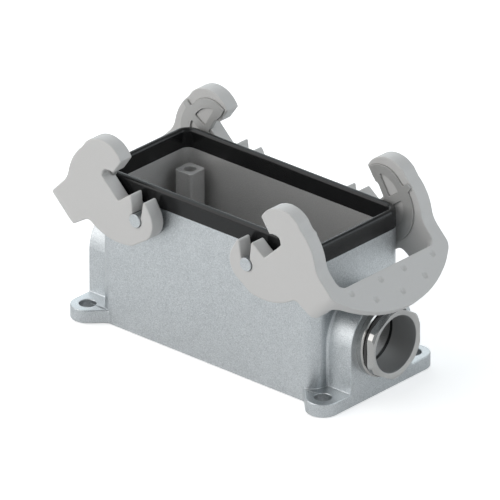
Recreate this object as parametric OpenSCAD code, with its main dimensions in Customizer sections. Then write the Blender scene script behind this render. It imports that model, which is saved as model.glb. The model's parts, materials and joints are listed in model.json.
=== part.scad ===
// Heavy duty rectangular connector housing for surface mounting, with two locking levers.
// Millimetres, +Z up. X runs along the box towards the cable entry, Y across it.
// Origin: middle of the foot hole pattern, on the mounting face.

/* [Housing box] */
// Length of the cast box along X
body_l = 96.2; // [84:0.1:97]
// Width of the cast box across Y
body_w = 44.4; // [40:0.1:45]
// Height of the cast wall, up to the seal
body_h = 50.4; // [50.2:0.1:53]
// Outer radius of the upright corners
body_r = 5.7; // [4:0.1:8]
// Wall thickness
wall = 2.6; // [2:0.1:3]
// Thickness of the closed bottom
floor_t = 3; // [2:0.1:5]

/* [Foot] */
// Hole pitch along X
foot_pitch_x = 105; // [105:0.5:112]
// Hole pitch across Y
foot_pitch_y = 45; // [44:0.5:50]
// Radius of the four fixing holes
foot_hole_r = 2.9; // [2.2:0.1:3.3]
// Radius of the lug round each hole
lug_r = 5.9; // [5.2:0.1:7]
// Fillet where a lug's slanted web runs into the box side
web_r = 3; // [1:0.5:4]
// Thickness of the foot
foot_t = 4.8; // [4:0.1:6]

/* [End bosses and cable entry] */
// Width of the arched boss on each end
boss_w = 30.8; // [28:0.1:33]
// Height of the cable entry axis
entry_z = 19.9; // [18:0.1:22]
// Radius of the cable entry bore
entry_r = 10; // [8:0.1:10.4]
// Radius of the threaded hole that takes the adapter
seat_r = 11.3; // [11:0.1:12]
// Depth of that hole from the end face
seat_depth = 5.1; // [4:0.1:6]
// Fillet where the boss meets the box
root_r = 1; // [0.5:0.1:1]
// Wall left at the closed end of the blind entry
blind_wall = 2.4; // [2:0.1:4]

/* [Insert posts] */
// Screw pitch along X
post_pitch_x = 77.5; // [76:0.5:78]
// Screw pitch across Y
post_pitch_y = 27; // [26:0.5:28]
// Side of the square post
post_w = 7.4; // [6:0.1:8]
// Height of the post tops
post_top = 46.2; // [42:0.1:47]
// Radius of the screw hole
post_hole_r = 2.1; // [1.5:0.1:2.4]
// Depth of the screw hole
post_hole_depth = 14; // [8:1:20]

/* [Lever pivots] */
// Distance of the pivot pegs from the middle
pivot_x = 24.6; // [24:0.1:26]
// Height of the pivot pegs
pivot_z = 46.8; // [46:0.1:47.2]
// Radius of a pivot peg
peg_r = 2.4; // [2.2:0.05:2.4]
// Radial play between peg and lever
peg_play = 0.05; // [0.02:0.01:0.1]
// Height of the peg end above the lever cheek
peg_proud = 0.5; // [0:0.1:1]

/* [Rim seal] */
// Height of the seal above the cast wall
seal_h = 6.7; // [5:0.1:7]

/* [Levers] */
// Gap between the box side and the lever cheek
cheek_gap = 1.4; // [1.2:0.1:2.5]
// Thickness of a cheek
cheek_t = 5.6; // [4:0.1:6]
// Radius of the cheek round the pivot
eye_r = 7.5; // [7:0.1:8]
// Radius of the hook's crown
crown_r = 9.9; // [9.4:0.1:10.2]
// Radius of the cheek's back
back_r = 18.4; // [18:0.1:19]
// Radius of the cheek's lower edge
belly_r = 22.7; // [22:0.1:23.4]
// Fillet where the cheek's back runs into the plate
heel_r = 9; // [2:0.5:10]
// Slope of the handle plate in the open lever
plate_slope = 45.7; // [40:0.1:50]
// Thickness of the handle plate
plate_t = 3.1; // [2.4:0.1:4]
// Distance of the plate's inner edge from the pivot
plate_x = 36.4; // [36:0.1:38]
// Reach of the plate from its inner edge to the rim
plate_reach = 14.6; // [13:0.1:16]
// Radius of the bowed rim in plan
rim_r = 40.8; // [38:0.1:46]
// Corner radius of the opening between the cheeks
window_r = 3; // [1:0.1:5]
// Radius of the sphere that cuts a grip dimple
dimple_r = 1.1; // [0.9:0.1:3]
// Depth of a grip dimple
dimple_depth = 0.4; // [0.2:0.05:0.6]

/* [Cheek inserts] */
// Height of an insert above the cheek's inner face
insert_proud = 0.6; // [0.3:0.1:0.8]
// Depth of the insert in the cheek
insert_sunk = 1.4; // [1:0.1:2.5]
// Play between insert and peg
insert_play = 0.3; // [0.1:0.05:0.5]

/* [Thread adapter] */
// Width across the flats of the hexagon
hex_af = 23.2; // [23:0.1:23.8]
// Turn of the hexagon about the entry axis
hex_turn = 1; // [0:1:59]
// Length of the hexagon
hex_l = 2.9; // [2:0.05:4]
// Turned radius that blunts the hexagon's corners
corner_r = 12.8; // [12.4:0.1:13.2]
// Radius where the hexagon's chamfer starts on the end face
face_r = 12; // [11.7:0.1:12.2]
// Length of that chamfer along the axis
hex_chamfer = 0.7; // [0.3:0.1:1]
// Depth of the dished end face at the bore
dish = 0.5; // [0.2:0.1:1]
// Width of the groove behind the hexagon
groove_w = 1.45; // [1:0.05:2.5]
// Radius of the groove's floor
groove_r = 10.9; // [10.7:0.1:11.2]
// Radius of the round collar
collar_r = 12.7; // [12:0.1:13.5]
// Length of the round collar
collar_l = 2.35; // [1.5:0.05:3]
// Height of the collar's outer chamfer
collar_chamfer = 0.7; // [0.3:0.1:1.2]
// Width of the ring seal at the bottom of the hole
ring_w = 1.1; // [0.8:0.1:1.5]
// Radial fit of the adapter's shank in the hole
shank_fit = 0.05; // [0.02:0.01:0.1]
// Play of the rubber ring in its groove
ring_play = 0.12; // [0.05:0.01:0.2]

/* [Hidden] */
$fn = 64;
eps = 0.01;
end_x = foot_pitch_x / 2 + lug_r;
box_x = body_l / 2;
side_y = body_w / 2;
arch_r = boss_w / 2;
seal_top = body_h + seal_h;
cheek_in = side_y + cheek_gap;
cheek_out = cheek_in + cheek_t;
peg_end = cheek_out + peg_proud;
plate_z = 0.35;
seat_x = end_x - seat_depth;
collar_x = end_x + collar_l;
hex_x = collar_x + groove_w;
adapter_x = hex_x + hex_l;
hex_r = hex_af / 2 / cos(30);

// Points along an arc round c, from angle a0 to a1.
function arc(c, r, a0, a1, n = 8) =
  [for (k = [0:n]) c + r * [cos(a0 + (a1 - a0) * k / n), sin(a0 + (a1 - a0) * k / n)]];

function unit(v) = v / norm(v);

// Fillet of radius r at corner b between a and c, as points.
function fillet(a, b, c, r, n = 5) =
  let (
    u = unit(a - b),
    v = unit(c - b),
    half = acos(u * v) / 2,
    m = b + unit(u + v) * r / sin(half),
    s = b + u * r / tan(half) - m,
    turn = sign(u.x * v.y - u.y * v.x) * (180 - 2 * half),
    a0 = atan2(s.y, s.x)
  ) [for (k = [0:n]) m + r * [cos(a0 - turn * k / n), sin(a0 - turn * k / n)]];

// Outline from corners [x, y, r], with a fillet wherever r is above zero.
function rounded(q) =
  let (n = len(q), p = [for (c = q) [c.x, c.y]])
  [for (i = [0:n - 1]) each
    (q[i].z > 0 ? fillet(p[(i + n - 1) % n], p[i], p[(i + 1) % n], q[i].z) : [p[i]])];

// Arc points written as corners without a fillet.
function plain(pts) = [for (p = pts) [p.x, p.y, 0]];

module rounded_square(l, w, r) {
  square([l - 2 * r, w], center = true);
  square([l, w - 2 * r], center = true);
  for (x = [-1, 1], y = [-1, 1])
    translate([x * (l / 2 - r), y * (w / 2 - r)])
      circle(r);
}

// Lays an outline drawn in X and Z on a plane across Y, grown from y0 to y1.
module across(y0, y1) {
  translate([0, y1, 0])
    rotate([90, 0, 0])
      linear_extrude(y1 - y0)
        children();
}

module four(px, py) {
  for (x = [-1, 1], y = [-1, 1])
    translate([x * px / 2, y * py / 2, 0])
      children();
}

// Housing: one casting with box, foot, bosses, posts and pegs.

// Foot in plan: a straight end between two lugs, each joined to the box by a slanted web.
module foot_outline() {
  slant = lug_r * cos(45);
  lx = foot_pitch_x / 2;
  ly = foot_pitch_y / 2;
  web_x = lx - ly - 2 * slant + side_y;
  inner_x = min(box_x - body_r, web_x - web_r);
  translate([inner_x, -side_y])
    square([lx - inner_x, body_w]);
  translate([lx - slant, -ly])
    square([slant + lug_r, foot_pitch_y]);
  for (y = [-1, 1]) {
    translate([lx, y * ly])
      circle(lug_r);
    polygon(rounded([[lx, y * ly, 0], [lx - slant, y * (ly + slant), 0],
      [web_x, y * side_y, web_r], [inner_x, y * side_y, 0],
      [inner_x, y * (side_y - wall), 0], [lx, y * (side_y - wall), 0]]));
  }
}

// Cable entry boss in section: straight sides under a round arch.
module boss_outline() {
  translate([0, entry_z])
    circle(arch_r);
  translate([-arch_r, 0])
    square([boss_w, entry_z]);
}

module along_x(x0, x1) {
  translate([x0, 0, 0])
    rotate([90, 0, 90])
      linear_extrude(x1 - x0)
        children();
}

module bore_x(r, x0, x1) {
  translate([x0, 0, entry_z])
    rotate([0, 90, 0])
      cylinder(r = r, h = x1 - x0);
}

// Concave fillet in section, in the corner of two faces along X and Y.
module root_section() {
  difference() {
    translate([-eps, -eps])
      square(root_r + eps);
    translate([root_r, root_r])
      circle(root_r);
  }
}

// Fillet between boss and box: up both straight sides and round the arch.
module boss_root() {
  for (y = [0, 1])
    mirror([0, y, 0])
      translate([box_x, arch_r, 0])
        linear_extrude(entry_z)
          root_section();
  translate([box_x, 0, entry_z])
    rotate([0, 90, 0])
      rotate([0, 0, 90])
        rotate_extrude(angle = 180)
          translate([arch_r, 0])
            root_section();
}

module end_block() {
  linear_extrude(foot_t)
    foot_outline();
  along_x(box_x - wall, end_x)
    boss_outline();
  boss_root();
}

module pivot_peg() {
  across(-peg_end, -side_y + wall / 2)
    circle(peg_r);
}

module housing() {
  color([0.70, 0.73, 0.75])
    difference() {
      union() {
        difference() {
          union() {
            linear_extrude(body_h)
              rounded_square(body_l, body_w, body_r);
            end_block();
            mirror([1, 0, 0])
              end_block();
          }
          translate([0, 0, floor_t])
            linear_extrude(body_h)
              rounded_square(body_l - 2 * wall, body_w - 2 * wall, body_r - wall);
        }
        four(post_pitch_x, post_pitch_y)
          translate([0, 0, floor_t - eps])
            linear_extrude(post_top - floor_t + eps)
              rounded_square(post_w, post_w, 1);
        for (x = [-1, 1], y = [0, 180])
          rotate([0, 0, y])
            translate([x * pivot_x, 0, pivot_z])
              pivot_peg();
      }
      four(foot_pitch_x, foot_pitch_y)
        translate([0, 0, -1])
          cylinder(r = foot_hole_r, h = foot_t + 2);
      four(post_pitch_x, post_pitch_y)
        translate([0, 0, post_top - post_hole_depth])
          cylinder(r = post_hole_r, h = post_hole_depth + 1);
      bore_x(entry_r, box_x - wall - 1, end_x + 1);
      bore_x(seat_r, seat_x, end_x + 1);
      bore_x(entry_r, -end_x + blind_wall, -box_x + wall + 1);
    }
}

// Rim seal: one rubber frame with a round crest, flush with the wall.

module seal_section() {
  crest = wall / 2;
  translate([-crest, 0])
    square([wall, seal_h - crest]);
  translate([0, seal_h - crest])
    circle(crest);
}

module rim_seal() {
  mid = body_r - wall / 2;
  run_x = body_l - 2 * body_r;
  run_y = body_w - 2 * body_r;
  color([0.08, 0.08, 0.09])
    translate([0, 0, body_h]) {
      for (s = [0, 180])
        rotate([0, 0, s]) {
          translate([-run_x / 2, side_y - wall / 2, 0])
            rotate([90, 0, 90])
              linear_extrude(run_x)
                seal_section();
          translate([box_x - wall / 2, run_y / 2, 0])
            rotate([90, 0, 0])
              linear_extrude(run_y)
                seal_section();
          translate([run_x / 2, run_y / 2, 0])
            rotate_extrude(angle = 90)
              translate([mid, 0])
                seal_section();
          translate([-run_x / 2, run_y / 2, 0])
            rotate([0, 0, 90])
              rotate_extrude(angle = 90)
                translate([mid, 0])
                  seal_section();
        }
    }
}

// Thread adapter: nickel plated turned part with a hexagon, a groove and a round collar.

module hexagon_x() {
  translate([hex_x, 0, entry_z])
    rotate([0, 90, 0])
      rotate([0, 0, hex_turn])
        cylinder(r = hex_r, h = hex_l, $fn = 6);
}

// Turned blank of the adapter, from the shank to the dished end face.
module adapter_blank() {
  shank = seat_r - shank_fit;
  translate([0, 0, entry_z])
    rotate([0, 90, 0])
      rotate_extrude()
        polygon([
          [entry_r, seat_x + ring_w], [shank - 0.4, seat_x + ring_w],
          [shank, seat_x + ring_w + 0.4], [shank, end_x],
          [collar_r, end_x], [collar_r, collar_x - collar_chamfer / 2],
          [collar_r - collar_chamfer, collar_x], [groove_r, collar_x],
          [groove_r, hex_x], [corner_r - 0.5, hex_x],
          [corner_r, hex_x + 0.3], [corner_r, adapter_x - hex_chamfer],
          [face_r, adapter_x], [face_r - 0.3, adapter_x], [entry_r, adapter_x - dish]]);
}

module thread_adapter() {
  color([0.78, 0.78, 0.76])
    difference() {
      adapter_blank();
      difference() {
        bore_x(2 * collar_r, hex_x - eps, adapter_x + 1);
        bore_x(groove_r, hex_x - 1, adapter_x + 2);
        hexagon_x();
      }
    }
}

// Ring of rubber in the groove between hexagon and collar.
module adapter_seal() {
  bead = groove_w / 2 - ring_play;
  crown = collar_r - 0.5 - bead;
  color([0.05, 0.05, 0.05])
    translate([collar_x + groove_w / 2, 0, entry_z])
      rotate([0, 90, 0])
        rotate_extrude() {
          translate([groove_r + ring_play, -bead])
            square([crown - groove_r - ring_play, 2 * bead]);
          translate([crown, 0])
            circle(bead);
        }
}

// Flat ring at the bottom of the threaded hole.
module bore_seal() {
  color([0.03, 0.03, 0.03])
    difference() {
      bore_x(seat_r - shank_fit, seat_x, seat_x + ring_w);
      bore_x(entry_r, seat_x - 1, seat_x + ring_w + 1);
    }
}

// Levers: outlines are drawn round the pivot, X towards the handle, Z up, lever open.

plate_dir = [cos(plate_slope), -sin(plate_slope)];
plate_nrm = [sin(plate_slope), cos(plate_slope)];
plate_edge = [plate_x, plate_z];
function on_plate(s, depth) = plate_edge + s * plate_dir - depth * plate_nrm;

// Point where a line from p along d meets the plate's upper face.
function meets_plate(p, d) = p + d * ((plate_edge - p) * plate_nrm) / (d * plate_nrm);

back_mid = [12.1, 5.5];
back_low = 12;
heel = meets_plate(back_mid + back_r * [cos(back_low), sin(back_low)],
  [sin(back_low), -cos(back_low)]);
plate_tip = on_plate(plate_reach + 1, 0);
plate_under = on_plate(plate_reach + 1, plate_t);

cheek_corners = concat(
  plain(arc([15.3, 14.9], crown_r, 153, 44, 14)),
  plain(arc(back_mid, back_r, 49, back_low, 8)),
  [[heel.x, heel.y, heel_r],
   [plate_tip.x, plate_tip.y, 0],
   [plate_under.x, plate_under.y, 0],
   [36.7, -4.3, 3.5],
   [29.4, -11.1, 2.2],
   [21.4, -6.1, 2.5]],
  plain(arc([7.5, 11.95], belly_r, -62, -105, 8)),
  plain(arc([0, 0], eye_r, -128, -210, 12)),
  [[-3.5, 8.8, 0.6],
   [-2.3, 1.5, 0],
   [1.3, 1.5, 0],
   [2.1, 9.0, 0.5],
   [7.8, 4.7, 0.4],
   [15, 11.6, 0.8],
   [14.5, 14.35, 1.6],
   [11.4, 14.6, 0.9],
   [10.1, 14.2, 0.3]]);

// Slot and peg hole, opened by more play for the insert.
module peg_cut(play) {
  circle(peg_r + play);
  polygon([[-2.3 - play, 1.5], [-3.5 - play, 9.5], [2.2 + play, 9.5], [1.3 + play, 1.5]]);
}

// Load-bearing insert: hook arm, short tail and two ribs that run down to a ring round the peg.
module insert_outline() {
  difference() {
    polygon(rounded(concat(
      [[7.6, 19.6, 0.5]],
      plain(arc([13.7, 12.5], 9.15, 126, 36, 10)),
      [[22.6, 16.7, 0.4],
       [24.2, 18.5, 1],
       [26.1, 17.1, 0.9],
       [24.6, 15.3, 0.6]],
      plain(arc([13.9, 7.5], 13.2, 32, -92, 14)),
      [[0, -5.2, 0],
       [-3.2, -4.1, 0],
       [-5.2, 0, 0],
       [-4.4, 2.8, 0],
       [3.2, 4.1, 0.5],
       [7.9, 3.3, 2],
       [14.7, 9.4, 1],
       [12, 14.2, 1.6],
       [9.3, 16.5, 3]])));
    polygon(rounded(concat(
      plain(arc([12.35, 8.95], 9.6, 84, 37, 6)),
      [[20.6, 13.9, 0.5],
       [16.4, 11.1, 0.5],
       [12.1, 18.3, 0.5]])));
    polygon(rounded(concat(
      [[22, 11.6, 0.5]],
      plain(arc([14.1, 7.85], 8.8, 17, -85, 10)),
      [[8.2, -1.8, 1.5],
       [6.2, 0.4, 1],
       [9.2, 1.4, 1.5],
       [18.4, 8.9, 1]])));
    peg_cut(insert_play);
  }
}

// Plan of the lever in the plate's plane: s down the slope from the inner edge, y across.
module plan_outline() {
  mid = plate_reach - rim_r;
  side_s = sqrt(rim_r * rim_r - cheek_out * cheek_out) + mid;
  a = asin(24 / rim_r);
  difference() {
    polygon(rounded(concat(
      [[-60, cheek_out, 0], [-60, -cheek_out, 0], [side_s, -cheek_out, 5]],
      plain(arc([mid, 0], rim_r, -a, a, 16)),
      [[side_s, cheek_out, 5]])));
    polygon(rounded([[-61, cheek_in, 0], [-61, -cheek_in, 0],
      [0, -cheek_in, window_r], [0, cheek_in, window_r]]));
  }
}

// Moves a plan drawn in s and y onto the plate and grows it both ways along the normal.
module on_handle() {
  translate([plate_edge.x, 0, plate_edge.y])
    rotate([0, plate_slope, 0])
      children();
}

// Grows an outline across one cheek, between two distances from the middle.
module cheek_layer(side, near, far) {
  across(side > 0 ? near : -far, side > 0 ? far : -near)
    children();
}

// Grip dimples as [s, y] on the plate.
dimples = [[2.7, -20.2], [2.7, -5.7], [2.7, 5.7], [2.7, 20.2], [8, -12.1], [8, 12.1], [9.4, 0]];

// The two cheeks and the sloping plate that joins them, before the plan trims them.
module lever_stock() {
  for (side = [-1, 1])
    cheek_layer(side, cheek_in, cheek_out)
      polygon(rounded(cheek_corners));
  across(-cheek_in - eps, cheek_in + eps)
    polygon([on_plate(-window_r - 1, 0), plate_tip, plate_under, on_plate(-window_r - 1, plate_t)]);
}

// One lever moulding round its pivot, handle towards +X.
module lever_body() {
  difference() {
    intersection() {
      lever_stock();
      on_handle()
        translate([0, 0, -60])
          linear_extrude(120)
            plan_outline();
    }
    across(-cheek_out - 1, cheek_out + 1)
      circle(peg_r + peg_play);
    for (side = [-1, 1])
      cheek_layer(side, cheek_in - eps, cheek_in + insert_sunk + eps)
        insert_outline();
    on_handle()
      for (d = dimples)
        translate([d.x, d.y, dimple_r - dimple_depth])
          sphere(dimple_r);
  }
}

module lever_insert(side) {
  color([0.60, 0.59, 0.57])
    cheek_layer(side, cheek_in - insert_proud, cheek_in + insert_sunk)
      insert_outline();
}

module right_side() {
  translate([pivot_x, 0, pivot_z])
    children();
}

module left_side() {
  mirror([1, 0, 0])
    right_side()
      children();
}

module right_lever() {
  color([0.76, 0.76, 0.75])
    right_side()
      lever_body();
}

module left_lever() {
  color([0.76, 0.76, 0.75])
    left_side()
      lever_body();
}

housing();
rim_seal();
thread_adapter();
adapter_seal();
bore_seal();
left_lever();
left_side() lever_insert(-1);  // left_insert_front
left_side() lever_insert(1);  // left_insert_back
right_lever();
right_side() lever_insert(-1);  // right_insert_front
right_side() lever_insert(1);  // right_insert_back
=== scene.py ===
import json
from math import cos, radians, sin, sqrt

import bmesh
import bpy
from mathutils import Matrix, Vector
from mathutils.bvhtree import BVHTree


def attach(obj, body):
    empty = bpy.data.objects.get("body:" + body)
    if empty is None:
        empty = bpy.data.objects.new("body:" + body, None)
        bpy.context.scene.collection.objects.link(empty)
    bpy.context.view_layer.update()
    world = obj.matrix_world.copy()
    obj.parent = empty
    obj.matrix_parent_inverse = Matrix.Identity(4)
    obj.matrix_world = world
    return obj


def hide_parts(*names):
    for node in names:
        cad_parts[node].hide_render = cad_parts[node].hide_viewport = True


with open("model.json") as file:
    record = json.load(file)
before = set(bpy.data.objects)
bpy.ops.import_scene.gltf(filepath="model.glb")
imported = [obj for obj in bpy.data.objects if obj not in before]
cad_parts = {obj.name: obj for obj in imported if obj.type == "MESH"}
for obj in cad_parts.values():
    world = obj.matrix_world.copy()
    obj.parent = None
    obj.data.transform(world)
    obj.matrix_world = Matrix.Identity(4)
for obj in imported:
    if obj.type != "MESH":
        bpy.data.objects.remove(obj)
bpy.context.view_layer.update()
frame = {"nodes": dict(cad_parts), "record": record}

# Housing
# One aluminium die casting: box, foot with four lugs, a boss on each end, screw posts and pivot pegs.
# It is left as cast, silver grey, with a finely mottled skin, small round edges and narrow fillets.
# Inside the box the skin is more even, and painted lighter and warmer as painted light; in the bore of the
# cable entry it is dull and painted darker as painted shade.

mm_per_metre = 1000


class Wire:
    """A socket of a material or world. Sums with it add Math nodes; node() adds any other node."""

    def __init__(self, tree, socket=None):
        self.tree = tree
        self.socket = socket

    def node(self, kind, settings=None, out=0, **sockets):
        """Adds a node. A socket goes by its name, or by its number after the letter i."""
        made = self.tree.nodes.new("ShaderNode" + kind)
        for name, value in (settings or {}).items():
            setattr(made, name, value)
        for name, value in sockets.items():
            numbered = name[1:].isdigit()
            socket = made.inputs[int(name[1:]) if numbered else name.replace("_", " ")]
            if isinstance(value, Wire):
                self.tree.links.new(value.socket, socket)
            else:
                socket.default_value = value
        return Wire(self.tree, made.outputs[out])

    def maths(self, operation, a, b=0.0):
        return self.node("Math", {"operation": operation}, i0=a, i1=b)

    def __add__(self, other):
        return self.maths("ADD", self, other)

    __radd__ = __add__

    def __mul__(self, other):
        return self.maths("MULTIPLY", self, other)

    __rmul__ = __mul__

    def __sub__(self, other):
        return self.maths("SUBTRACT", self, other)

    def __rsub__(self, other):
        return self.maths("SUBTRACT", other, self)

    def unsigned(self):
        return self.maths("ABSOLUTE", self)

    def below(self, limit):
        """1 where the value is under the limit, else 0."""
        return self.maths("LESS_THAN", self, limit)

    def position(self):
        """The x, y and z of each point of the piece, in metres."""
        place = self.node("TexCoord", out="Object")
        return [self.node("SeparateXYZ", out=axis, Vector=place) for axis in "XYZ"]

    def noise(self, per_metre, detail):
        """Noise from 0 to 1 that is fixed to the piece, with so many cells a metre."""
        place = self.node("TexCoord", out="Object")
        return self.node("TexNoise", Vector=place, Scale=per_metre, Detail=detail, Roughness=0.5)

    def between(self, low, high, factor):
        """A colour that runs from low to high as factor goes from 0 to 1."""
        low, high = (colour if isinstance(colour, Wire) else (*colour, 1) for colour in (low, high))
        settings = {"data_type": "RGBA", "clamp_factor": True}
        return self.node("Mix", settings, out=2, i0=factor, i6=low, i7=high)

    def bump(self, height, strength, depth):
        """Bump of the given height; depth is that of a full step, in metres."""
        return self.node("Bump", Strength=strength, Distance=depth, Height=height)


def finish_of(name, colour, **shader):
    """Starts a material; returns it with a Wire on its shader."""
    material = bpy.data.materials.new(name)
    material.use_nodes = True
    shade = material.node_tree.nodes["Principled BSDF"]
    shade.inputs["Base Color"].default_value = (*colour, 1)
    for key, value in shader.items():
        shade.inputs[key.replace("_", " ")].default_value = value
    return material, Wire(material.node_tree, shade.outputs[0])


def feed(wire, **sockets):
    """Links values that change over the surface to the shader that wire ends in."""
    for name, value in sockets.items():
        wire.tree.links.new(value.socket, wire.socket.node.inputs[name.replace("_", " ")])


def dressed(node, name, width, share=None, sharp=25, segments=3, clamp=True):
    """A copy of a node's mesh with whole flat faces and rounded edges.

    An edge is rounded if it turns by more than sharp degrees. share(middle in mm, hollow) gives
    the part of width that the edge takes; at 0 it stays crisp."""
    same_point = 2e-6
    still_flat = radians(0.4)
    bm = bmesh.new()
    bm.from_mesh(frame["nodes"][node].data)
    bmesh.ops.remove_doubles(bm, verts=bm.verts, dist=same_point)
    bmesh.ops.dissolve_limit(bm, angle_limit=still_flat, verts=bm.verts, edges=bm.edges)
    weight = bm.edges.layers.float.new("bevel_weight_edge")
    for edge in bm.edges:
        if len(edge.link_faces) == 2 and edge.calc_face_angle(0) > radians(sharp):
            middle = (edge.verts[0].co + edge.verts[1].co) / 2 * mm_per_metre
            hollow = edge.calc_face_angle_signed(0) < 0
            edge[weight] = share(middle, hollow) if share else 1.0
            edge.smooth = edge[weight] > 0
    for face in bm.faces:
        face.smooth = True
    mesh = bpy.data.meshes.new(name)
    bm.to_mesh(mesh)
    bm.free()
    piece = bpy.data.objects.new(name, mesh)
    bpy.context.collection.objects.link(piece)
    bevel = piece.modifiers.new("edges", "BEVEL")
    bevel.limit_method = "WEIGHT"
    bevel.width = width
    bevel.segments = segments
    bevel.use_clamp_overlap = clamp
    bevel.miter_outer = "MITER_ARC"
    normals = piece.modifiers.new("normals", "WEIGHTED_NORMAL")
    normals.keep_sharp = True
    return piece


def put(piece, body, node, material):
    """Sets a piece on its body in place of a node, with its finish."""
    piece.data.materials.clear()
    piece.data.materials.append(material)
    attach(piece, body)
    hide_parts(node)


def cast_edges(middle, hollow):
    """Edge and fillet sizes as parts of 1 mm; crisp under the seal and at the root of each boss."""
    x, y, z = abs(middle.x), abs(middle.y), middle.z
    under_seal = z > 50
    boss_root = 46.5 < x < 51 and 7 < y < 19 and z > 5.2
    peg_end = y > 29
    foot = z < 6
    post = x < 44 and y < 19
    if under_seal or boss_root:
        return 0.0
    if peg_end:
        return 0.15
    if hollow or foot:
        return 0.35
    return 0.2 if post else 0.3


cast, wire = finish_of("as_cast_aluminium", (0.55, 0.57, 0.58), Metallic=1.0, Roughness=0.34)
x, y, z = wire.position()
inner_end, inner_side = 0.0459, 0.0200
inside = x.unsigned().below(inner_end) * y.unsigned().below(inner_side)
cable_entry = next(mount for mount in frame["record"]["mounts"] if mount["name"] == "cable_entry")
entry_height = cable_entry["pos_m"][2]
entry_radius, entry_reach = 0.0116, 0.0572
over_axis = z - entry_height
round_axis = (y * y + over_axis * over_axis).below(entry_radius * entry_radius)
bored = round_axis * x.unsigned().below(entry_reach) * (1.0 - inside)
grain = wire.noise(per_metre=2900, detail=1)
cloud = wire.noise(per_metre=260, detail=3)
grain_contrast, cloud_contrast, darkening = 1.5, 0.2, 0.35
mottle = grain * grain_contrast + cloud * cloud_contrast - darkening
outer_skin = wire.between((0.40, 0.425, 0.44), (0.70, 0.725, 0.74), mottle)
# Painted light: inside the box the skin is a lighter, warmer copy of the outer skin, with weaker mottle.
painted_light_inner = wire.between((0.61, 0.605, 0.60), (0.73, 0.72, 0.71), mottle)
skin_and_painted_light = wire.between(outer_skin, painted_light_inner, inside)
# Painted shade: the bore of the cable entry is painted a darker grey; it is also less metallic.
painted_bore_shade = (0.27, 0.27, 0.27)
feed(wire,
     Base_Color=wire.between(skin_and_painted_light, painted_bore_shade, bored),
     Metallic=1.0 - inside * 0.4 - bored * 0.5,
     Roughness=0.26 + grain * 0.14,
     Normal=wire.bump(grain, strength=1.0, depth=0.00013))
casting = dressed("housing", "cast_housing", width=0.001, share=cast_edges, clamp=False)
put(casting, "housing", "housing", cast)

# Rim seal
# One moulded frame of black rubber on the rim of the box, flush with the wall outside.
# The hood presses on its round crest, which shines softly.

rubber, wire = finish_of("rim_rubber", (0.009, 0.0092, 0.0095), Roughness=0.26, Specular_IOR_Level=0.34)
grain = wire.noise(per_metre=2500, detail=2)
feed(wire,
     Roughness=0.23 + grain * 0.06,
     Normal=wire.bump(grain, strength=0.12, depth=0.0001))


def crisp(middle, hollow):
    """Leaves every edge as it is; only the faces between them are shaded smooth."""
    return 0.0


rubber_frame = dressed("rim_seal", "rim_rubber_frame", width=0.0001, share=crisp, sharp=50)
put(rubber_frame, "housing", "rim_seal", rubber)

# Levers
# Each lever is one moulding in light grey plastic: two hooked cheeks and a sloping handle plate.
# Its cheeks are snapped over the pivot pegs through a slot, and all its edges are slightly round.
# A steel insert lies in a pocket of each cheek.

moulded, wire = finish_of("lever_moulding", (0.58, 0.57, 0.56), Roughness=0.45)
grain = wire.noise(per_metre=2200, detail=2)
feed(wire,
     Base_Color=wire.between((0.565, 0.555, 0.545), (0.595, 0.585, 0.575), grain),
     Roughness=0.42 + grain * 0.08,
     Normal=wire.bump(grain, strength=0.12, depth=0.00012))


def press_dimples(mesh, side):
    """Rounds out the seven grip dimples as shallow bowls in the plate; returns their places."""
    slope = radians(45.7)
    plate_edge_x, plate_edge_z = 0.0610, 0.04715
    down_and_across = ((0.0027, -0.0202), (0.0027, -0.0057), (0.0027, 0.0057), (0.0027, 0.0202),
                       (0.0080, -0.0121), (0.0080, 0.0121), (0.0094, 0.0))
    rim, deep, face_depth = 0.00118, 0.0005, 0.001
    ball = (rim * rim + deep * deep) / (2 * deep)
    turned = -1 if side == "left" else 1
    outward = Vector((sin(slope) * turned, 0, cos(slope)))
    places = []
    for down, across in down_and_across:
        x = (plate_edge_x + down * cos(slope)) * turned
        z = plate_edge_z - down * sin(slope)
        places.append(Vector((x, across, z)))
    for vertex in mesh.vertices:
        for place in places:
            offset = vertex.co - place
            height = offset.dot(outward)
            reach = (offset - outward * height).length
            if reach < rim and abs(height) < face_depth:
                bowl = sqrt(ball * ball - reach * reach) - (ball - deep)
                vertex.co -= outward * (height + bowl)
    return places


def soft_moulding(lever, side, inserts, name):
    """The lever's shape in fine even cells with softened edges, crisp round inserts and dimples."""
    piece = bpy.data.objects.new(name, frame["nodes"][lever].data.copy())
    bpy.context.collection.objects.link(piece)
    cells = piece.modifiers.new("cells", "REMESH")
    cells.mode = "VOXEL"
    cells.voxel_size = 0.00025
    cells.use_smooth_shade = True
    sight = bpy.context.evaluated_depsgraph_get()
    mesh = bpy.data.meshes.new_from_object(piece.evaluated_get(sight))
    bpy.data.objects.remove(piece)
    piece = bpy.data.objects.new(name, mesh)
    bpy.context.collection.objects.link(piece)
    dimples = press_dimples(mesh, side)
    trees = []
    for insert in inserts:
        bm = bmesh.new()
        bm.from_mesh(frame["nodes"][insert].data)
        trees.append(BVHTree.FromBMesh(bm))
        bm.free()
    # Distances in mm from an insert and from a dimple's middle, within which nothing is softened.
    held_by_insert, eased_over, held_by_dimple = 0.1, 0.3, 1.4
    free = piece.vertex_groups.new(name="free")
    for vertex in mesh.vertices:
        gap = min(tree.find_nearest(vertex.co)[3] for tree in trees) * mm_per_metre
        pit = min((vertex.co - place).length for place in dimples) * mm_per_metre
        ease = min((gap - held_by_insert) / eased_over, pit - held_by_dimple)
        free.add([vertex.index], min(1.0, max(0.0, ease)), "REPLACE")
    soften = piece.modifiers.new("soften", "SMOOTH")
    soften.factor = 0.5
    soften.iterations = 3
    soften.vertex_group = "free"
    thin = piece.modifiers.new("thin", "DECIMATE")
    thin.ratio = 0.4
    return piece


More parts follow.
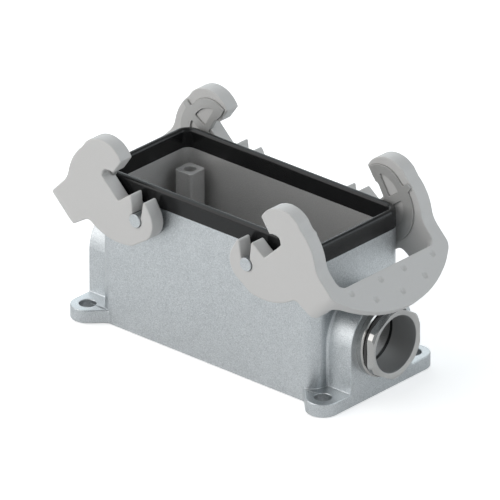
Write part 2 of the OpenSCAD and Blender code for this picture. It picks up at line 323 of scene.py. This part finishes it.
steel, wire = finish_of("insert_steel", (0.48, 0.475, 0.465), Metallic=0.35, Roughness=0.45)
grain = wire.noise(per_metre=2200, detail=2)
feed(wire,
     Roughness=0.38 + grain * 0.1,
     Normal=wire.bump(grain, strength=0.1, depth=0.0001))

for side in ("left", "right"):
    lever = side + "_lever"
    inserts = [side + "_insert_front", side + "_insert_back"]
    moulding = soft_moulding(lever, side, inserts, side + "_lever_moulding")
    put(moulding, lever, lever, moulded)
    for cheek in ("front", "back"):
        node = side + "_insert_" + cheek
        insert = dressed(node, side + "_steel_" + cheek, width=0.00018, segments=2)
        put(insert, lever, node, steel)

# Thread adapter
# A turned, nickel-plated brass piece screwed into the right boss: hexagon, groove and round collar.
# A black rubber ring lies in the groove and a flat one at the bottom of the hole.

nickel, wire = finish_of("nickel_plate", (0.45, 0.445, 0.435), Metallic=1.0, Roughness=0.16)
x, y, z = wire.position()
thread_radius = cable_entry["dims"]["r_mm"] / mm_per_metre
bore_radius = thread_radius + 0.0002
over_axis = z - entry_height
bore = (y * y + over_axis * over_axis).below(bore_radius * bore_radius)
haze = wire.noise(per_metre=900, detail=2)
# Painted shade: the bore of the adapter is painted a darker grey; it is also less metallic and rougher.
feed(wire,
     Base_Color=wire.between((0.45, 0.445, 0.435), (0.34, 0.34, 0.34), bore),
     Metallic=1.0 - bore * 0.5,
     Roughness=0.145 + haze * 0.03 + bore * 0.45)
adapter = dressed("thread_adapter", "nickel_adapter", width=0.0001, share=crisp, sharp=18)
put(adapter, "housing", "thread_adapter", nickel)

groove_ring, wire = finish_of("ring_rubber", (0.035, 0.033, 0.032), Roughness=0.25, Specular_IOR_Level=0.6)
feed(wire, Roughness=0.22 + wire.noise(per_metre=1800, detail=2) * 0.06)
flat_ring, wire = finish_of("bore_rubber", (0.006, 0.006, 0.006), Roughness=0.4, Specular_IOR_Level=0.2)
feed(wire, Roughness=0.36 + wire.noise(per_metre=1800, detail=2) * 0.08)
for node, finish in (("adapter_seal", groove_ring), ("bore_seal", flat_ring)):
    ring = frame["nodes"][node]
    ring.data.materials.clear()
    ring.data.materials.append(finish)

# Camera
# A long lens four metres away, from the front right and above.
# It sees the object from the same side and in the same frame as the photograph.

turn, lift = radians(41.81), radians(25.97)
distance, focal_length = 4.0, 866.71
aim = Vector((0, 0, 0.025))
slide_right, slide_up = 0.00013, 0.00754
right = Vector((cos(turn), sin(turn), 0))
back = Vector((sin(turn) * cos(lift), -cos(turn) * cos(lift), sin(lift)))
up = back.cross(right)
lens = bpy.data.cameras.new("camera")
lens.lens = focal_length
lens.clip_start = 0.5
lens.clip_end = 20
camera = bpy.data.objects.new("camera", lens)
bpy.context.collection.objects.link(camera)
eye = aim + back * distance + right * slide_right + up * slide_up
camera.matrix_world = Matrix.Translation(eye) @ Matrix((right, up, back)).transposed().to_4x4()
bpy.context.scene.camera = camera

# Studio
# A white floor that keeps the object's soft shadow, a pale room that is dimmer overhead, and four
# large soft lamps. The camera sees the floor and the room as white.

white, wire = finish_of("studio_floor", (0.86, 0.86, 0.86), Roughness=0.9)
reach, clearance = 3, 0.0002
corners = [(-reach, -reach, 0), (reach, -reach, 0), (reach, reach, 0), (-reach, reach, 0)]
floor_mesh = bpy.data.meshes.new("floor")
floor_mesh.from_pydata(corners, [], [(0, 1, 2, 3)])
floor_mesh.materials.append(white)
floor = bpy.data.objects.new("floor", floor_mesh)
bpy.context.collection.objects.link(floor)
floor.location.z = -clearance
glow = wire.node("Emission", Color=(1, 1, 1, 1), Strength=1.0)
lit = wire.node("AddShader", i0=wire, i1=glow)
by_camera = wire.node("LightPath", out="Is Camera Ray")
in_gloss = wire.node("LightPath", out="Is Glossy Ray")
show = wire.node("MixShader", i0=0.5 * by_camera + 0.15 * in_gloss, i1=wire, i2=lit)
wire.tree.links.new(show.socket, wire.tree.nodes["Material Output"].inputs["Surface"])

room = bpy.data.worlds.new("studio")
bpy.context.scene.world = room
room.use_nodes = True
sky = Wire(room.node_tree)
direction = sky.node("TexCoord", out="Generated")
height = sky.node("SeparateXYZ", out="Z", Vector=direction)
smooth = {"interpolation_type": "SMOOTHSTEP"}
overhead = sky.node("MapRange", smooth, Value=height, From_Min=0.3, From_Max=0.8)
pale_blue = (0.93, 0.975, 1, 1)
low_light = sky.node("Background", Color=pale_blue, Strength=0.48)
high_light = sky.node("Background", Color=pale_blue, Strength=0.18)
light = sky.node("MixShader", i0=overhead, i1=low_light, i2=high_light)
plain_white = sky.node("Background", Color=(1, 1, 1, 1), Strength=1.0)
by_camera = sky.node("LightPath", out="Is Camera Ray")
show = sky.node("MixShader", i0=by_camera, i1=light, i2=plain_white)
sky.tree.links.new(show.socket, sky.tree.nodes["World Output"].inputs["Surface"])


def lamp(name, place, size, power, colour):
    """A square soft lamp that faces the object."""
    light = bpy.data.lights.new(name, "AREA")
    light.shape = "SQUARE"
    light.size = size
    light.energy = power
    light.color = colour
    made = bpy.data.objects.new(name, light)
    bpy.context.collection.objects.link(made)
    made.location = place
    made.rotation_mode = "QUATERNION"
    object_middle = Vector((0, 0, 0.03))
    made.rotation_quaternion = (Vector(place) - object_middle).to_track_quat("Z", "Y")


lamp("back_lamp", place=(-0.98, 0.94, 0.56), size=1.2, power=5.4, colour=(0.90, 0.97, 1))
lamp("top_lamp", place=(-0.86, 0.02, 1.36), size=0.9, power=3.5, colour=(0.86, 0.95, 1))
lamp("front_softbox", place=(-0.85, -1.25, 1.0), size=2.2, power=24.5, colour=(1, 0.985, 0.97))
lamp("right_softbox", place=(1.3, 0.8, 0.9), size=1.4, power=10.6, colour=(0.90, 0.96, 1))

bpy.context.scene.view_settings.view_transform = "Standard"
